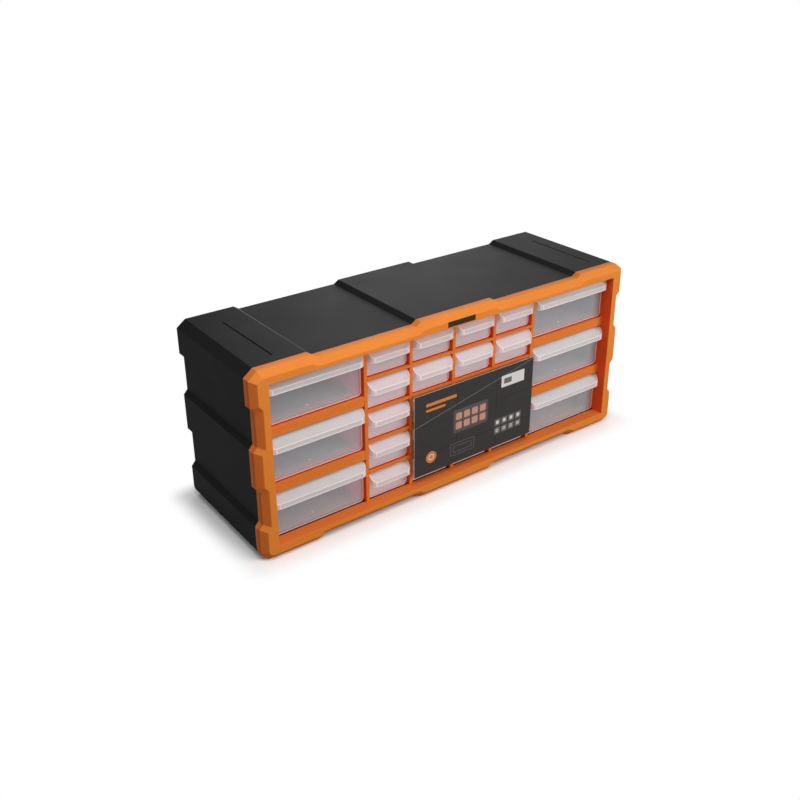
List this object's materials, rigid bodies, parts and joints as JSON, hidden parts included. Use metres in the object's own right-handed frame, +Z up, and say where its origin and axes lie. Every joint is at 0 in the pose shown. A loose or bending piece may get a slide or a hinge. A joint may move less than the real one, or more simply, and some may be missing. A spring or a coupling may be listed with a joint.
{
  "type": "compartment organizer box",
  "caption": "Wide plastic parts cabinet with a stepped black housing, an orange front frame and translucent pull-out drawers in a small and a large size.",
  "frame": {"origin": "centre of the bounding box's bottom face, on the surface that the cabinet stands on", "axes": "+X to the right along the width as seen from the front, -Y out of the front where the drawers open, +Z up"},
  "size_m": [0.52, 0.165, 0.218],
  "materials": {
    "housing_plastic": "fine grained matte black",
    "frame_plastic": "satin orange",
    "grid_plastic": "satin orange",
    "drawer_plastic": "clear, slightly milky, glossy",
    "badge_plastic": "dark, bare",
    "printed_card": "printed board with a satin coat"
  },
  "bodies": {
    "cabinet": {"badge_plate": "badge_plastic", "front_frame": "frame_plastic", "housing_shell": "housing_plastic", "large_shelf_left_1": "grid_plastic", "large_shelf_left_2": "grid_plastic", "large_shelf_right_1": "grid_plastic", "large_shelf_right_2": "grid_plastic", "small_shelf_1": "grid_plastic", "small_shelf_2": "grid_plastic", "small_shelf_3": "grid_plastic", "small_shelf_4": "grid_plastic", "upright_1": "grid_plastic", "upright_2": "grid_plastic", "upright_3": "grid_plastic", "upright_4": "grid_plastic", "upright_5": "grid_plastic"},
    "large_drawer_left_bottom": {"large_drawer_left_bottom": "drawer_plastic"},
    "large_drawer_left_middle": {"large_drawer_left_middle": "drawer_plastic"},
    "large_drawer_left_top": {"large_drawer_left_top": "drawer_plastic"},
    "large_drawer_right_bottom": {"large_drawer_right_bottom": "drawer_plastic"},
    "large_drawer_right_middle": {"large_drawer_right_middle": "drawer_plastic"},
    "large_drawer_right_top": {"large_drawer_right_top": "drawer_plastic"},
    "small_drawer_column1_row1": {"small_drawer_column1_row1": "drawer_plastic"},
    "small_drawer_column1_row2": {"small_drawer_column1_row2": "drawer_plastic"},
    "small_drawer_column1_row3": {"small_drawer_column1_row3": "drawer_plastic"},
    "small_drawer_column1_row4": {"small_drawer_column1_row4": "drawer_plastic"},
    "small_drawer_column1_row5": {"small_drawer_column1_row5": "drawer_plastic"},
    "small_drawer_column2_row1": {"small_drawer_column2_row1": "drawer_plastic", "card_column2_row1": "printed_card"},
    "small_drawer_column2_row2": {"small_drawer_column2_row2": "drawer_plastic", "card_column2_row2": "printed_card"},
    "small_drawer_column2_row3": {"small_drawer_column2_row3": "drawer_plastic", "card_column2_row3": "printed_card"},
    "small_drawer_column2_row4": {"small_drawer_column2_row4": "drawer_plastic"},
    "small_drawer_column2_row5": {"small_drawer_column2_row5": "drawer_plastic"},
    "small_drawer_column3_row1": {"small_drawer_column3_row1": "drawer_plastic", "card_column3_row1": "printed_card"},
    "small_drawer_column3_row2": {"small_drawer_column3_row2": "drawer_plastic", "card_column3_row2": "printed_card"},
    "small_drawer_column3_row3": {"small_drawer_column3_row3": "drawer_plastic", "card_column3_row3": "printed_card"},
    "small_drawer_column3_row4": {"small_drawer_column3_row4": "drawer_plastic"},
    "small_drawer_column3_row5": {"small_drawer_column3_row5": "drawer_plastic"},
    "small_drawer_column4_row1": {"small_drawer_column4_row1": "drawer_plastic", "card_column4_row1": "printed_card"},
    "small_drawer_column4_row2": {"small_drawer_column4_row2": "drawer_plastic", "card_column4_row2": "printed_card"},
    "small_drawer_column4_row3": {"small_drawer_column4_row3": "drawer_plastic", "card_column4_row3": "printed_card"},
    "small_drawer_column4_row4": {"small_drawer_column4_row4": "drawer_plastic"},
    "small_drawer_column4_row5": {"small_drawer_column4_row5": "drawer_plastic"}
  },
  "joints": [
    {"name": "large_drawer_left_bottom_slide", "type": "slide", "parent": "cabinet", "child": "large_drawer_left_bottom", "axis": [0, -1, 0], "range_m": [0, 0.137]},
    {"name": "large_drawer_left_middle_slide", "type": "slide", "parent": "cabinet", "child": "large_drawer_left_middle", "axis": [0, -1, 0], "range_m": [0, 0.137]},
    {"name": "large_drawer_left_top_slide", "type": "slide", "parent": "cabinet", "child": "large_drawer_left_top", "axis": [0, -1, 0], "range_m": [0, 0.137]},
    {"name": "large_drawer_right_bottom_slide", "type": "slide", "parent": "cabinet", "child": "large_drawer_right_bottom", "axis": [0, -1, 0], "range_m": [0, 0.137]},
    {"name": "large_drawer_right_middle_slide", "type": "slide", "parent": "cabinet", "child": "large_drawer_right_middle", "axis": [0, -1, 0], "range_m": [0, 0.137]},
    {"name": "large_drawer_right_top_slide", "type": "slide", "parent": "cabinet", "child": "large_drawer_right_top", "axis": [0, -1, 0], "range_m": [0, 0.137]},
    {"name": "small_drawer_column1_row1_slide", "type": "slide", "parent": "cabinet", "child": "small_drawer_column1_row1", "axis": [0, -1, 0], "range_m": [0, 0.137]},
    {"name": "small_drawer_column1_row2_slide", "type": "slide", "parent": "cabinet", "child": "small_drawer_column1_row2", "axis": [0, -1, 0], "range_m": [0, 0.137]},
    {"name": "small_drawer_column1_row3_slide", "type": "slide", "parent": "cabinet", "child": "small_drawer_column1_row3", "axis": [0, -1, 0], "range_m": [0, 0.137]},
    {"name": "small_drawer_column1_row4_slide", "type": "slide", "parent": "cabinet", "child": "small_drawer_column1_row4", "axis": [0, -1, 0], "range_m": [0, 0.137]},
    {"name": "small_drawer_column1_row5_slide", "type": "slide", "parent": "cabinet", "child": "small_drawer_column1_row5", "axis": [0, -1, 0], "range_m": [0, 0.137]},
    {"name": "small_drawer_column2_row1_slide", "type": "slide", "parent": "cabinet", "child": "small_drawer_column2_row1", "axis": [0, -1, 0], "range_m": [0, 0.137]},
    {"name": "small_drawer_column2_row2_slide", "type": "slide", "parent": "cabinet", "child": "small_drawer_column2_row2", "axis": [0, -1, 0], "range_m": [0, 0.137]},
    {"name": "small_drawer_column2_row3_slide", "type": "slide", "parent": "cabinet", "child": "small_drawer_column2_row3", "axis": [0, -1, 0], "range_m": [0, 0.137]},
    {"name": "small_drawer_column2_row4_slide", "type": "slide", "parent": "cabinet", "child": "small_drawer_column2_row4", "axis": [0, -1, 0], "range_m": [0, 0.137]},
    {"name": "small_drawer_column2_row5_slide", "type": "slide", "parent": "cabinet", "child": "small_drawer_column2_row5", "axis": [0, -1, 0], "range_m": [0, 0.137]},
    {"name": "small_drawer_column3_row1_slide", "type": "slide", "parent": "cabinet", "child": "small_drawer_column3_row1", "axis": [0, -1, 0], "range_m": [0, 0.137]},
    {"name": "small_drawer_column3_row2_slide", "type": "slide", "parent": "cabinet", "child": "small_drawer_column3_row2", "axis": [0, -1, 0], "range_m": [0, 0.137]},
    {"name": "small_drawer_column3_row3_slide", "type": "slide", "parent": "cabinet", "child": "small_drawer_column3_row3", "axis": [0, -1, 0], "range_m": [0, 0.137]},
    {"name": "small_drawer_column3_row4_slide", "type": "slide", "parent": "cabinet", "child": "small_drawer_column3_row4", "axis": [0, -1, 0], "range_m": [0, 0.137]},
    {"name": "small_drawer_column3_row5_slide", "type": "slide", "parent": "cabinet", "child": "small_drawer_column3_row5", "axis": [0, -1, 0], "range_m": [0, 0.137]},
    {"name": "small_drawer_column4_row1_slide", "type": "slide", "parent": "cabinet", "child": "small_drawer_column4_row1", "axis": [0, -1, 0], "range_m": [0, 0.137]},
    {"name": "small_drawer_column4_row2_slide", "type": "slide", "parent": "cabinet", "child": "small_drawer_column4_row2", "axis": [0, -1, 0], "range_m": [0, 0.137]},
    {"name": "small_drawer_column4_row3_slide", "type": "slide", "parent": "cabinet", "child": "small_drawer_column4_row3", "axis": [0, -1, 0], "range_m": [0, 0.137]},
    {"name": "small_drawer_column4_row4_slide", "type": "slide", "parent": "cabinet", "child": "small_drawer_column4_row4", "axis": [0, -1, 0], "range_m": [0, 0.137]},
    {"name": "small_drawer_column4_row5_slide", "type": "slide", "parent": "cabinet", "child": "small_drawer_column4_row5", "axis": [0, -1, 0], "range_m": [0, 0.137]}
  ]
}
